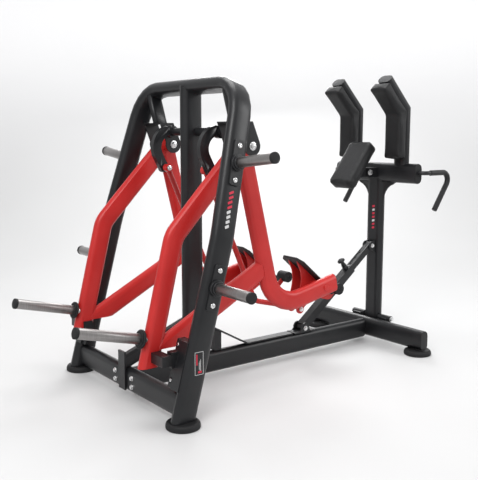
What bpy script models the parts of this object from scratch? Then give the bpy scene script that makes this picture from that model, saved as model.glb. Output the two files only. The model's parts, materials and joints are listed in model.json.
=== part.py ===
"""Standing leg press with two swinging plate-loaded arms, as separate named solids.

X runs forward from the A-frame to the pad tower, Y to the user's left, Z up, in metres.
Lengths along X are written from the centre post and moved by X0, which puts the origin
under the middle of the whole machine.
"""
import math

import bmesh
import bpy
from mathutils import Vector

# ---- driving dimensions -------------------------------------------------------------
X0 = -0.4004  # centre post's x in the finished frame
GAP = 0.0003  # clearance between pieces that touch
FRAME_L, FRAME_S = 0.120, 0.060  # flat-oval tube of the frame
ARM_L, ARM_S = 0.100, 0.050  # flat-oval tube of the arms
SLEEVE_R = 0.025  # Olympic weight sleeve, 50 mm across

LEAN = 0.27  # how far the hoop leans forward for each metre up
HOOP_X = -0.4056  # hoop's axis at floor level
LEG_Y, KINK_Z = 0.525, 0.84
CORNER_Y, HOOP_TOP = 0.439, 1.542
FOOT_R, FOOT_H = 0.080, 0.030
BEAM_Z, CROSS_Z = 0.080, 0.090  # axes of the long beam and of the two cross-beams
REAR_X, FRONT_X = -0.383, 1.334
REAR_HALF, FRONT_HALF = LEG_Y - FRAME_S / 2 - GAP, 0.470
FRONT_FOOT_Y = 0.425
POST_X = 0.006

ARM_Y = 0.350
PIVOT = (0.065, 1.250)  # arm's hinge, x and z
LINK_TOP = (-0.027, 1.128)  # parallel link's hinge on the frame
CARRIAGE = (0.620, 0.486)  # foot plate's hinge on the arm
LINK_LOW = (CARRIAGE[0] + LINK_TOP[0] - PIVOT[0], CARRIAGE[1] + LINK_TOP[1] - PIVOT[1])
LINK_Y = 0.176
CLEVIS_IN, CLEVIS_OUT, CLEVIS_T = 0.262, 0.438, 0.008
PIN_R, HUB_R = 0.0125, 0.035
REAR_BEND, REAR_END = (-0.3245, 0.842), (-0.4726, 0.250)
FRONT_CORNER, FRONT_END = (0.2716, 0.4098), (0.700, 0.504)
BRACE_LOW, BRACE_HIGH = (-0.392, 0.330), (0.230, 0.654)

CROSS_TUBE = (0.028, 1.318)
CROSS_TUBE_R = 0.021
BRACKET_C, BRACKET_R, BRACKET_W = (0.020, 1.235), 0.092, 0.050
BRACKET_Y0, BRACKET_Y1 = 0.205, 0.235

TOWER_X, TOWER_HINGE = 1.406, (1.395, 0.150)
HEAD_Z, HEAD_HALF = 1.070, 0.325
PAD_Y, PAD_W, PAD_T = 0.193, 0.128, 0.064
PAD_FRONT, PAD_LOW, PAD_BEND, PAD_UP = 1.315, 1.158, 1.417, 0.204
PAD_TILT = math.radians(44.4)
CHEST_TILT = math.radians(37.0)
CHEST_FACE, CHEST_L, CHEST_W, CHEST_T = (1.1580, 1.1396), 0.320, 0.190, 0.070
STRUT_LOW, STRUT_UP = (0.781, 0.166), (1.349, 0.608)
STRUT_OUTER, STRUT_BORE, STRUT_INNER, STRUT_EYE_R = 0.050, 0.041, 0.040, 0.0165
STRUT_SLEEVE_END, STRUT_INNER_START, STRUT_PIN_AT = 0.513, 0.200, 0.480
HOLE_STEP = 0.050

SIDES = (("r", -1), ("l", 1))
ROUND = 24  # facets of a round part
HALF_OVAL = 6  # facets of one rounded tube edge


# ---- scene, materials, bodies -------------------------------------------------------
for old in list(bpy.data.objects):
    bpy.data.objects.remove(old, do_unlink=True)


def material(name, color, roughness, metallic):
    mat = bpy.data.materials.new(name)
    mat.use_nodes = True
    shader = mat.node_tree.nodes["Principled BSDF"]
    shader.inputs["Base Color"].default_value = (*color, 1.0)
    shader.inputs["Roughness"].default_value = roughness
    shader.inputs["Metallic"].default_value = metallic
    mat.diffuse_color = (*color, 1.0)
    return mat


LOOKS = {
    "black_paint": ((0.028, 0.029, 0.032), 0.38, 0.0),
    "red_paint": ((0.52, 0.028, 0.026), 0.35, 0.0),
    "steel": ((0.36, 0.34, 0.34), 0.34, 1.0),
    "zinc": ((0.78, 0.78, 0.79), 0.22, 1.0),
    "rubber": ((0.022, 0.022, 0.023), 0.70, 0.0),
    "vinyl": ((0.026, 0.026, 0.028), 0.48, 0.0),
    "plate_black": ((0.030, 0.030, 0.032), 0.55, 0.0),
}


def at(x, y, z):
    return Vector((x + X0, y, z))


def flat(point, y=0.0):
    """The world point at (x, z) of a side view, y out of it."""
    return at(point[0], y, point[1])


BODIES = {}


def body(name, origin, parent=None):
    """An empty on the joint's axis that carries the pieces of one rigid body."""
    empty = bpy.data.objects.new(name + "_axis", None)
    empty.empty_display_size = 0.05
    bpy.context.scene.collection.objects.link(empty)
    place(empty, origin, parent)
    BODIES[name] = (empty, origin)


def place(obj, origin, owner):
    if owner is None:
        obj.location = origin
    else:
        empty, base = BODIES[owner]
        obj.parent = empty
        obj.location = origin - base


def finish(name, bm, look, owner, origin, helper=False):
    """Turns a bmesh in world coordinates into a named object with its own material."""
    bmesh.ops.recalc_face_normals(bm, faces=bm.faces)
    bmesh.ops.translate(bm, verts=bm.verts, vec=-origin)
    mesh = bpy.data.meshes.new(name)
    bm.to_mesh(mesh)
    bm.free()
    obj = bpy.data.objects.new(name, mesh)
    bpy.context.scene.collection.objects.link(obj)
    place(obj, origin, owner)
    if helper:
        obj.hide_render = True
        obj.display_type = "WIRE"
    else:
        mesh.materials.append(material(name + "_paint", *LOOKS[look]))
    return obj


# ---- shapes -------------------------------------------------------------------------
def oval(long, short, steps=HALF_OVAL):
    """Flat-oval outline, its long side along the first coordinate."""
    r, half = short / 2, (long - short) / 2
    points = []
    for side in (1, -1):
        for i in range(steps + 1):
            a = math.radians(-90 + 180 * i / steps) + (math.pi if side < 0 else 0)
            points.append((side * half + r * math.cos(a), r * math.sin(a)))
    return points


def box_outline(long, short):
    a, b = long / 2, short / 2
    return [(a, -b), (a, b), (-a, b), (-a, -b)]


def circle(radius, steps=ROUND):
    return [
        (radius * math.cos(2 * math.pi * i / steps), radius * math.sin(2 * math.pi * i / steps))
        for i in range(steps)
    ]


def fillet(points, radii, steps=6):
    """The path with each inner corner replaced by an arc of the given radius."""
    path = [points[0]]
    for before, corner, after, radius in zip(points, points[1:], points[2:], radii):
        u = (before - corner).normalized()
        v = (after - corner).normalized()
        half = u.angle(v) / 2
        run = radius / math.tan(half)
        centre = corner + (u + v).normalized() * (radius / math.sin(half))
        start, end = corner + u * run - centre, corner + v * run - centre
        turn = start.angle(end)
        for i in range(steps + 1):
            t = i / steps
            arm = start * math.sin((1 - t) * turn) + end * math.sin(t * turn)
            path.append(centre + arm / math.sin(turn))
    path.append(points[-1])
    return path


def ring_faces(bm, rings):
    for a, b in zip(rings, rings[1:]):
        count = len(a)
        for i in range(count):
            j = (i + 1) % count
            bm.faces.new((a[i], a[j], b[j], b[i]))
    bm.faces.new(rings[0][::-1])
    bm.faces.new(rings[-1])


def sweep(path, outline, normal, cut0=None, cut1=None):
    """Closed tube along a planar path. The outline's first coordinate lies in the path's
    plane and its second along normal; cut0 and cut1 are the end faces' normals."""
    bm = bmesh.new()
    rings = []
    last = len(path) - 1
    for i, point in enumerate(path):
        into = (point - path[i - 1]).normalized() if i else (path[1] - point).normalized()
        out = (path[i + 1] - point).normalized() if i < last else into
        tangent = (into + out).normalized()
        stretch = 1 / max(0.3, tangent.dot(into))
        side = normal.cross(tangent).normalized()
        cut = cut0 if i == 0 else cut1 if i == last else None
        ring = []
        for a, b in outline:
            spot = point + side * a * stretch + normal * b
            if cut is not None:
                spot = spot - tangent * ((spot - point).dot(cut) / tangent.dot(cut))
            ring.append(bm.verts.new(spot))
        rings.append(ring)
    ring_faces(bm, rings)
    return bm


def round_sweep(path, radius, steps=16):
    """Round bar along any path, its frame carried along without twist."""
    bm = bmesh.new()
    rings = []
    side = None
    last = len(path) - 1
    for i, point in enumerate(path):
        into = (point - path[i - 1]).normalized() if i else (path[1] - point).normalized()
        out = (path[i + 1] - point).normalized() if i < last else into
        tangent = (into + out).normalized()
        if side is None:
            side = tangent.orthogonal().normalized()
        side = (side - tangent * side.dot(tangent)).normalized()
        up = tangent.cross(side)
        rings.append([bm.verts.new(point + side * a + up * b) for a, b in circle(radius, steps)])
    ring_faces(bm, rings)
    return bm


def lathe(base, axis, profile, steps=ROUND):
    """Solid of revolution. profile lists (radius, distance along axis), both ends at radius 0."""
    bm = bmesh.new()
    axis = axis.normalized()
    side = axis.orthogonal().normalized()
    up = axis.cross(side)
    rings = [
        [bm.verts.new(base + axis * d + side * a + up * b) for a, b in circle(r, steps)]
        for r, d in profile[1:-1]
    ]
    ring_faces(bm, rings)
    return bm


def bar(start, end, radius, steps=ROUND):
    length = (end - start).length
    return lathe(start, end - start, [(0, 0), (radius, 0), (radius, length), (0, length)], steps)


def prism(points, vec):
    """Closed prism over a flat outline of world points."""
    bm = bmesh.new()
    low = [bm.verts.new(p) for p in points]
    high = [bm.verts.new(p + vec) for p in points]
    ring_faces(bm, [low, high])
    return bm


def plate(outline, y0, y1):
    """Prism over an (x, z) outline, from y0 to y1."""
    return prism([flat(p, y0) for p in outline], Vector((0, y1 - y0, 0)))


def block(x0, x1, y0, y1, z0, z1):
    return plate([(x0, z0), (x1, z0), (x1, z1), (x0, z1)], y0, y1)


def helper(name, bm, owner):
    return finish(name, bm, None, owner, BODIES[owner][1], helper=True)


def combine(obj, bm, operation, label, owner):
    """Joins the shape to the piece, or cuts it away."""
    mod = obj.modifiers.new(label, "BOOLEAN")
    mod.operation = operation
    mod.solver = "EXACT"
    mod.object = helper(obj.name + "_" + label, bm, owner)
    return obj


def arc(centre, radius, first, last, steps):
    """Points of an arc in a side view, angles in degrees."""
    angles = [math.radians(first + (last - first) * i / steps) for i in range(steps + 1)]
    return [(centre[0] + radius * math.cos(a), centre[1] + radius * math.sin(a)) for a in angles]


def along(origin, direction, distance):
    return (origin[0] + direction[0] * distance, origin[1] + direction[1] * distance)


def unit(a, b):
    length = math.hypot(b[0] - a[0], b[1] - a[1])
    return ((b[0] - a[0]) / length, (b[1] - a[1]) / length)


Y = Vector((0, 1, 0))
X = Vector((1, 0, 0))
Z = Vector((0, 0, 1))
ORIGIN = Vector((0, 0, 0))
body("frame", ORIGIN)


# ---- frame: hoop, post, beams -------------------------------------------------------
HOOP_NORMAL = Vector((1, 0, -LEAN)).normalized()
HOOP_UP = Vector((LEAN, 0, 1)).normalized()


def hoop_point(y, z):
    return at(HOOP_X + LEAN * z, y, z)


def hoop_shape(grow=0.0):
    corners = [
        hoop_point(-LEG_Y, FOOT_H + GAP),
        hoop_point(-LEG_Y, KINK_Z),
        hoop_point(-CORNER_Y, HOOP_TOP),
        hoop_point(CORNER_Y, HOOP_TOP),
        hoop_point(LEG_Y, KINK_Z),
        hoop_point(LEG_Y, FOOT_H + GAP),
    ]
    path = fillet(corners, [0.5, 0.17, 0.17, 0.5], 5)
    outline = [(b, a) for a, b in oval(FRAME_L + 2 * grow, FRAME_S + 2 * grow)]
    return sweep(path, outline, HOOP_NORMAL, Z, Z)


def post_shape(grow=0.0):
    inside = hoop_point(0, HOOP_TOP) - HOOP_UP * 0.010
    foot = at(POST_X, 0, BEAM_Z + FRAME_L / 2 + GAP)
    path = [foot, Vector((foot.x, 0, inside.z - LEAN * (foot.x - inside.x)))]
    outline = oval(FRAME_L + 2 * grow, FRAME_S + 2 * grow)
    return sweep(path, outline, Y, None, HOOP_UP)


def rear_cross_shape(grow=0.0):
    path = [at(REAR_X, -REAR_HALF, CROSS_Z), at(REAR_X, REAR_HALF, CROSS_Z)]
    return sweep(path, oval(FRAME_L + 2 * grow, FRAME_S + 2 * grow), X)


finish("hoop", hoop_shape(), "black_paint", "frame", hoop_point(0, HOOP_TOP))
post = finish("centre_post", post_shape(), "black_paint", "frame", at(POST_X, 0, 0.14))
tube_hole = bar(flat(CROSS_TUBE, -0.1), flat(CROSS_TUBE, 0.1), CROSS_TUBE_R + GAP)
combine(post, tube_hole, "DIFFERENCE", "tube_hole", "frame")
combine(post, hoop_shape(GAP), "DIFFERENCE", "hoop_cut", "frame")
finish("rear_crossbeam", rear_cross_shape(), "black_paint", "frame", at(REAR_X, 0, CROSS_Z))
front_path = [at(FRONT_X, -FRONT_HALF, CROSS_Z), at(FRONT_X, FRONT_HALF, CROSS_Z)]
front_cross = sweep(front_path, oval(FRAME_L, FRAME_S), X)
finish("front_crossbeam", front_cross, "black_paint", "frame", at(FRONT_X, 0, CROSS_Z))
beam_path = [
    at(REAR_X + FRAME_S / 2 + GAP, 0, BEAM_Z),
    at(FRONT_X - FRAME_S / 2 - GAP, 0, BEAM_Z),
]
beam = sweep(beam_path, oval(FRAME_L, FRAME_S), Y)
finish("base_beam", beam, "black_paint", "frame", at(0, 0, BEAM_Z))

foot_profile = [
    (0, 0),
    (FOOT_R - 0.005, 0),
    (FOOT_R, 0.005),
    (FOOT_R, 0.014),
    (FOOT_R - 0.012, FOOT_H),
    (0, FOOT_H),
]
for side, s in SIDES:
    rear_spot = hoop_point(s * LEG_Y, FOOT_H)
    rear_spot.z = 0
    front_spot = at(FRONT_X, s * FRONT_FOOT_Y, 0)
    finish("foot_rear_" + side, lathe(rear_spot, Z, foot_profile), "rubber", "frame", rear_spot)
    low = [(r, min(d, FOOT_H - GAP)) for r, d in foot_profile]
    finish("foot_front_" + side, lathe(front_spot, Z, low), "rubber", "frame", front_spot)

# ---- frame: rear brace, strap and riser ---------------------------------------------
brace_dir = unit((-0.343, 0.2015), (-0.054, 0.3095))
brace_path = [flat(along((-0.343, 0.2015), brace_dir, d)) for d in (-0.080, 0.345)]
rear_brace = finish(
    "rear_brace",
    sweep(brace_path, oval(0.080, 0.040), Y, X, None),
    "black_paint",
    "frame",
    brace_path[0],
)
combine(rear_brace, post_shape(GAP), "DIFFERENCE", "post_cut", "frame")
combine(rear_brace, rear_cross_shape(GAP), "DIFFERENCE", "beam_cut", "frame")
back = REAR_X - FRAME_S / 2 - GAP
combine(rear_brace, block(back - 0.010, back, -0.032, 0.032, 0.04, 0.235), "UNION", "foot", "frame")

strap_line = [(0.03, 0.3251), (0.357, 0.1446), (0.69, 0.1446)]
STRAP_T, STRAP_W = 0.008, 0.060
strap = finish(
    "strap",
    sweep([flat(p) for p in strap_line], box_outline(STRAP_T, STRAP_W), Y),
    "black_paint",
    "frame",
    flat(strap_line[1]),
)
combine(strap, post_shape(GAP), "DIFFERENCE", "post_cut", "frame")
strap_dir = unit(*strap_line[:2])
strap_normal = Vector((-strap_dir[1], 0, strap_dir[0]))
riser_x = 0.155
riser_top = strap_line[0][1] + (riser_x - strap_line[0][0]) * strap_dir[1] / strap_dir[0]
riser_top -= (STRAP_T / 2 + GAP) / strap_normal.z
riser_path = [at(riser_x, 0, BEAM_Z + FRAME_L / 2 + GAP), at(riser_x, 0, riser_top)]
riser = sweep(riser_path, box_outline(0.045, 0.045), Y, None, strap_normal)
finish("riser", riser, "black_paint", "frame", riser_path[0])

# ---- frame: storage horns, stop blocks, clevises, brackets --------------------------
BAR_X0, BAR_X1, BAR_Z0, BAR_Z1 = -0.4695, -0.4195, 0.275, 0.325
HORN_PLATE_T, HORN_PLATE_L, HORN_PLATE_W = 0.008, 0.210, 0.060
HORN_REACH = 0.300
tube_half = CLEVIS_IN - GAP
cross_tube = bar(flat(CROSS_TUBE, -tube_half), flat(CROSS_TUBE, tube_half), CROSS_TUBE_R)
brackets = finish("link_brackets", cross_tube, "black_paint", "frame", flat(CROSS_TUBE))
for side, s in SIDES:
    for level, z in (("lower", 0.624), ("upper", 1.174)):
        splay = 0.0 if z < KINK_Z else (LEG_Y - CORNER_Y) / (HOOP_TOP - KINK_Z)
        leg_y = LEG_Y - splay * max(0.0, z - KINK_Z)
        leg_dir = Vector((LEAN, -s * splay, 1)).normalized()
        out = HOOP_NORMAL.cross(leg_dir).normalized() * -s
        if out.y * s < 0:
            out = -out
        base = hoop_point(s * leg_y, z)
        face = base + out * (FRAME_S / 2 + GAP)
        a, b = HOOP_NORMAL * (HORN_PLATE_W / 2), leg_dir * (HORN_PLATE_L / 2)
        corners = [face - a - b, face + a - b, face + a + b, face - a + b]
        name = "horn_" + level + "_" + side
        horn = finish(name, prism(corners, out * HORN_PLATE_T), "steel", "frame", face)
        profile = [
            (0, 0.004),
            (0.039, 0.004),
            (0.039, HORN_PLATE_T + 0.012),
            (SLEEVE_R, HORN_PLATE_T + 0.012),
            (SLEEVE_R, HORN_REACH - FRAME_S / 2),
            (0, HORN_REACH - FRAME_S / 2),
        ]
        combine(horn, lathe(face, out, profile), "UNION", "sleeve", "frame")

    # stop block: a leaning pad round the leg's rear corner, with a bolting flange and a
    # buffer that the arm's stop bar rests on
    block_low, block_high, depth = 0.168, 0.385, 0.060
    rear_low = HOOP_X + LEAN * block_low - FRAME_L / 2 - 0.006
    rear_high = rear_low + LEAN * (block_high - block_low)
    stop_outline = [
        (rear_low, block_low),
        (rear_low + depth, block_low),
        (rear_high + depth, block_high),
        (rear_high, block_high),
    ]
    stop = finish(
        "stop_block_" + side,
        plate(stop_outline, s * 0.462, s * (LEG_Y + 0.002)),
        "black_paint",
        "frame",
        at(-0.36, s * 0.462, 0.305),
    )
    flange_outline = [(x + (0.010 if x in (rear_low, rear_high) else -0.012), z) for x, z in stop_outline]
    combine(stop, plate(flange_outline, s * 0.424, s * 0.466), "UNION", "flange", "frame")
    buffer = block(BAR_X1 + GAP, -0.360, s * 0.430, s * 0.470, BAR_Z0 - 0.012, BAR_Z1 + 0.012)
    combine(stop, buffer, "UNION", "buffer", "frame")
    combine(stop, hoop_shape(GAP), "DIFFERENCE", "hoop_cut", "frame")

    hang_path = [at(-0.006, s * ARM_Y, 1.522), at(0.036, s * ARM_Y, 1.362)]
    clevis_outline = [(-0.018, 1.366), (0.066, 1.366)] + arc(PIVOT, 0.047, 25, -198, 12)
    clevis = finish(
        "clevis_" + side,
        plate(clevis_outline, s * CLEVIS_IN, s * CLEVIS_OUT),
        "black_paint",
        "frame",
        flat(PIVOT, s * ARM_Y),
    )
    low, high = s * (CLEVIS_IN + CLEVIS_T), s * (CLEVIS_OUT - CLEVIS_T)
    combine(clevis, block(-0.2, 0.3, low, high, 1.0, 1.358), "DIFFERENCE", "throat", "frame")
    pin_hole = bar(flat(PIVOT, s * 0.2), flat(PIVOT, s * 0.5), PIN_R + GAP)
    combine(clevis, pin_hole, "DIFFERENCE", "pin_hole", "frame")
    combine(clevis, sweep(hang_path, oval(0.080, 0.040), Y, None, Z), "UNION", "hanger", "frame")
    combine(clevis, hoop_shape(GAP), "DIFFERENCE", "hoop_cut", "frame")
    pin_profile = [
        (0, -0.009),
        (0.021, -0.009),
        (0.021, -GAP),
        (PIN_R, -GAP),
        (PIN_R, CLEVIS_OUT - CLEVIS_IN + GAP),
        (0.021, CLEVIS_OUT - CLEVIS_IN + GAP),
        (0.021, CLEVIS_OUT - CLEVIS_IN + 0.009),
        (0, CLEVIS_OUT - CLEVIS_IN + 0.009),
    ]
    pin = lathe(flat(PIVOT, s * CLEVIS_IN), Y * s, pin_profile)
    finish("pivot_pin_" + side, pin, "zinc", "frame", flat(PIVOT, s * ARM_Y))

    curve = [CROSS_TUBE] + arc(BRACKET_C, BRACKET_R, 105, 215, 8) + [LINK_TOP]
    middle = s * (BRACKET_Y0 + BRACKET_Y1) / 2
    curved = sweep(
        [flat(p, middle) for p in curve],
        box_outline(BRACKET_W, BRACKET_Y1 - BRACKET_Y0),
        Y,
    )
    combine(brackets, curved, "UNION", "arc_" + side, "frame")
    ends = (("tube_boss", CROSS_TUBE, 0.033), ("pin_boss", LINK_TOP, 0.025))
    for label, centre, radius in ends:
        boss = bar(flat(centre, s * (BRACKET_Y0 - 0.001)), flat(centre, s * (BRACKET_Y1 + 0.001)), radius)
        combine(brackets, boss, "UNION", label + "_" + side, "frame")
    link_pin = bar(flat(LINK_TOP, s * 0.152), flat(LINK_TOP, s * 0.243), 0.008, 16)
    combine(brackets, link_pin, "UNION", "pin_" + side, "frame")

# ---- frame: strut clevis and tower hinge --------------------------------------------
beam_top = BEAM_Z + FRAME_L / 2 + GAP
clevis_low = finish(
    "strut_clevis",
    block(0.700, 0.860, -0.0365, 0.0365, beam_top, beam_top + 0.008),
    "black_paint",
    "frame",
    flat(STRUT_LOW),
)
for side, s in SIDES:
    ear = [(0.735, beam_top + 0.004), (0.827, beam_top + 0.004)] + arc(STRUT_LOW, 0.032, -10, 190, 8)
    combine(clevis_low, plate(ear, s * 0.0285, s * 0.0365), "UNION", "ear_" + side, "frame")
low_pin = bar(flat(STRUT_LOW, -0.043), flat(STRUT_LOW, 0.043), 0.008, 16)
combine(clevis_low, low_pin, "UNION", "pin", "frame")

HINGE_PIN_R, HINGE_TUBE_R = 0.010, 0.019
hinge = finish(
    "tower_hinge",
    bar(flat(TOWER_HINGE, -0.160), flat(TOWER_HINGE, 0.160), HINGE_PIN_R),
    "black_paint",
    "frame",
    flat(TOWER_HINGE),
)
for side, s in SIDES:
    tube = bar(flat(TOWER_HINGE, s * 0.0625), flat(TOWER_HINGE, s * 0.157), HINGE_TUBE_R)
    combine(hinge, tube, "UNION", "tube_" + side, "frame")
    pad = block(FRONT_X + FRAME_S / 2 + GAP, TOWER_HINGE[0], s * 0.080, s * 0.140, 0.095, 0.155)
    combine(hinge, pad, "UNION", "lug_" + side, "frame")


# ---- arms, foot-plate carriages, parallel links -------------------------------------
front_dir = unit(PIVOT, FRONT_CORNER)
rear_dir = unit(PIVOT, REAR_BEND)
lower_dir = unit(REAR_BEND, REAR_END)
end_dir = unit(FRONT_CORNER, FRONT_END)


def rear_member(y, grow=0.0):
    points = [flat(along(PIVOT, rear_dir, 0.02), y), flat(REAR_BEND, y), flat(REAR_END, y)]
    outline = oval(ARM_L + 2 * grow, ARM_S + 2 * grow)
    return sweep(fillet(points, [0.12], 4), outline, Y, None, Z)


def front_member(y, grow=0.0):
    points = [flat(along(PIVOT, front_dir, 0.03), y), flat(FRONT_CORNER, y), flat(FRONT_END, y)]
    outline = oval(ARM_L + 2 * grow, ARM_S + 2 * grow)
    return sweep(fillet(points, [0.18], 8), outline, Y)


def arm_brace(y):
    return sweep([flat(BRACE_LOW, y), flat(BRACE_HIGH, y)], oval(ARM_L, ARM_S), Y, Z, None)


def hub_shape(s, grow=0.0):
    return bar(flat(PIVOT, s * 0.2705), flat(PIVOT, s * 0.4295), HUB_R + grow)


HORN_H = (lower_dir[1], -lower_dir[0])  # out of the rear member, square to it
if HORN_H[0] > 0:
    HORN_H = (-HORN_H[0], -HORN_H[1])
horn_root = along(REAR_BEND, lower_dir, (REAR_BEND[1] - 0.372) / -lower_dir[1])

plate_dir, plate_up = (0.766, -0.643), (0.643, 0.766)
plate_top = (0.484, 0.655)
PLATE_L, PLATE_T, PLATE_Y0, PLATE_Y1 = 0.360, 0.010, 0.150, 0.320
ROLLER, ROLLER_R, ROLLER_Y, ROLLER_L = (0.838, 0.432), 0.033, 0.2225, 0.075
LUG_BENDS, LUG_T, AXLE_R = ((0.700, 0.410), (0.790, 0.385)), 0.008, 0.010

for side, s in SIDES:
    arm, carriage, link = "arm_" + side, "carriage_" + side, "link_" + side
    y = s * ARM_Y
    body(arm, flat(PIVOT, y), "frame")
    body(carriage, flat(CARRIAGE, s * 0.235), arm)
    body(link, flat(LINK_TOP, s * LINK_Y), "frame")

    hub = finish("arm_hub_" + side, hub_shape(s), "red_paint", arm, flat(PIVOT, y))
    bore = bar(flat(PIVOT, s * 0.2), flat(PIVOT, s * 0.5), PIN_R + GAP)
    combine(hub, bore, "DIFFERENCE", "bore", arm)

    rear = finish("arm_rear_" + side, rear_member(y), "red_paint", arm, flat(REAR_BEND, y))
    combine(rear, hub_shape(s, GAP), "DIFFERENCE", "hub_cut", arm)
    bar_hole = block(
        BAR_X0 - GAP, BAR_X1 + GAP, s * 0.3, s * 0.4, BAR_Z0 - GAP, BAR_Z1 + GAP
    )
    combine(rear, bar_hole, "DIFFERENCE", "bar_hole", arm)

    front = finish("arm_front_" + side, front_member(y), "red_paint", arm, flat(FRONT_CORNER, y))
    combine(front, hub_shape(s, GAP), "DIFFERENCE", "hub_cut", arm)
    combine(front, rear_member(y, GAP), "DIFFERENCE", "rear_cut", arm)
    shaft_hole = bar(flat(CARRIAGE, s * 0.3), flat(CARRIAGE, s * 0.4), 0.015 + GAP)
    combine(front, shaft_hole, "DIFFERENCE", "shaft_hole", arm)

    brace = finish("arm_brace_" + side, arm_brace(y), "red_paint", arm, flat(BRACE_LOW, y))
    combine(brace, rear_member(y, GAP), "DIFFERENCE", "rear_cut", arm)
    combine(brace, front_member(y, GAP), "DIFFERENCE", "front_cut", arm)

    stop_bar = block(BAR_X0, BAR_X1, s * 0.318, s * 0.472, BAR_Z0, BAR_Z1)
    finish("stop_bar_" + side, stop_bar, "black_paint", arm, at(BAR_X0, y, BAR_Z0))

    horn_profile = [
        (0, 0.035),
        (0.019, 0.035),
        (0.019, 0.062),
        (0.044, 0.062),
        (0.044, 0.074),
        (SLEEVE_R, 0.074),
        (SLEEVE_R, 0.400),
        (0, 0.400),
    ]
    root = flat(horn_root, y)
    horn_axis = Vector((HORN_H[0], 0, HORN_H[1]))
    horn = finish("arm_horn_" + side, lathe(root, horn_axis, horn_profile), "steel", arm, root)
    combine(horn, rear_member(y, GAP), "DIFFERENCE", "tube_cut", arm)

    # foot plate: cut corners, on two ribs that swing on a shaft through the arm's end
    top = flat(plate_top, 0)
    d, n = Vector((plate_dir[0], 0, plate_dir[1])), Vector((plate_up[0], 0, plate_up[1]))
    cut = 0.032
    shape = [
        (cut, PLATE_Y0),
        (PLATE_L - cut, PLATE_Y0),
        (PLATE_L, PLATE_Y0 + cut),
        (PLATE_L, PLATE_Y1 - cut),
        (PLATE_L - cut, PLATE_Y1),
        (cut, PLATE_Y1),
        (0, PLATE_Y1 - cut),
        (0, PLATE_Y0 + cut),
    ]
    outline = [top + d * t + Y * (s * w) for t, w in shape]
    foot_plate = prism(outline, -n * PLATE_T)
    finish("foot_plate_" + side, foot_plate, "plate_black", carriage, flat(CARRIAGE, s * 0.235))

    under = along(plate_top, plate_up, -PLATE_T - GAP)
    rib = [along(under, plate_dir, 0.03), along(under, plate_dir, 0.29), (0.660, 0.428)]
    rib += [(0.600, 0.398)] + arc(LINK_LOW, 0.026, 15, -190, 8)
    rib += [(0.510, 0.420), (0.527, 0.475), (0.535, 0.525), (0.528, 0.570)]
    ribs = finish(
        "carriage_ribs_" + side,
        plate(rib, s * 0.196, s * 0.204),
        "red_paint",
        carriage,
        flat(CARRIAGE, s * 0.235),
    )
    combine(ribs, plate(rib, s * 0.266, s * 0.274), "UNION", "outer_rib", carriage)
    shaft = bar(flat(CARRIAGE, s * 0.188), flat(CARRIAGE, s * 0.379), 0.015)
    combine(ribs, shaft, "UNION", "shaft", carriage)
    spacer = bar(flat(CARRIAGE, s * 0.272), flat(CARRIAGE, s * 0.3247), 0.029)
    combine(ribs, spacer, "UNION", "spacer", carriage)
    low_pin = bar(flat(LINK_LOW, s * 0.155), flat(LINK_LOW, s * 0.280), 0.008, 16)
    combine(ribs, low_pin, "UNION", "pin", carriage)

    # toe roller past the plate's lower end, on a lug that passes under the plate
    lug_y = s * ROLLER_Y
    lug_path = fillet([flat(p, lug_y) for p in (CARRIAGE, *LUG_BENDS, ROLLER)], [0.03, 0.03], 4)
    lug = sweep(lug_path, box_outline(0.028, LUG_T), Y)
    combine(ribs, lug, "UNION", "lug", carriage)
    inner_end, outer_end = lug_y - s * ROLLER_L / 2, lug_y + s * ROLLER_L / 2
    axle = bar(flat(ROLLER, inner_end + s * 0.004), flat(ROLLER, outer_end - s * 0.004), AXLE_R, 16)
    combine(ribs, axle, "UNION", "axle", carriage)
    roller = finish(
        "toe_roller_" + side,
        bar(flat(ROLLER, inner_end), flat(ROLLER, outer_end), ROLLER_R),
        "rubber",
        carriage,
        flat(ROLLER, lug_y),
    )
    bore = bar(flat(ROLLER, inner_end - s * 0.01), flat(ROLLER, outer_end + s * 0.01), AXLE_R + GAP, 16)
    combine(roller, bore, "DIFFERENCE", "bore", carriage)
    slot = sweep(lug_path, box_outline(0.028 + 2 * GAP, LUG_T + 2 * GAP), Y)
    combine(roller, slot, "DIFFERENCE", "slot", carriage)

    # parallel link: bent round tube with an eye at each end
    ly = s * LINK_Y
    corner = (0.288, 0.425)
    link_path = fillet([flat(LINK_TOP, ly), flat(corner, ly), flat(LINK_LOW, ly)], [0.06], 6)
    tube = finish("link_tube_" + side, round_sweep(link_path, 0.014), "red_paint", link, flat(LINK_TOP, ly))
    for label, centre in (("top_eye", LINK_TOP), ("low_eye", LINK_LOW)):
        eye = bar(flat(centre, ly - 0.015), flat(centre, ly + 0.015), 0.021)
        combine(tube, eye, "UNION", label, link)
    for label, centre in (("top_bore", LINK_TOP), ("low_bore", LINK_LOW)):
        hole = bar(flat(centre, ly - 0.03), flat(centre, ly + 0.03), 0.008 + GAP, 16)
        combine(tube, hole, "DIFFERENCE", label, link)

# ---- tower --------------------------------------------------------------------------
body("tower", flat(TOWER_HINGE), "frame")


def head_shape(grow=0.0):
    path = [at(TOWER_X, -HEAD_HALF, HEAD_Z), at(TOWER_X, HEAD_HALF, HEAD_Z)]
    return sweep(path, oval(FRAME_L + 2 * grow, FRAME_S + 2 * grow), X)


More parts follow.
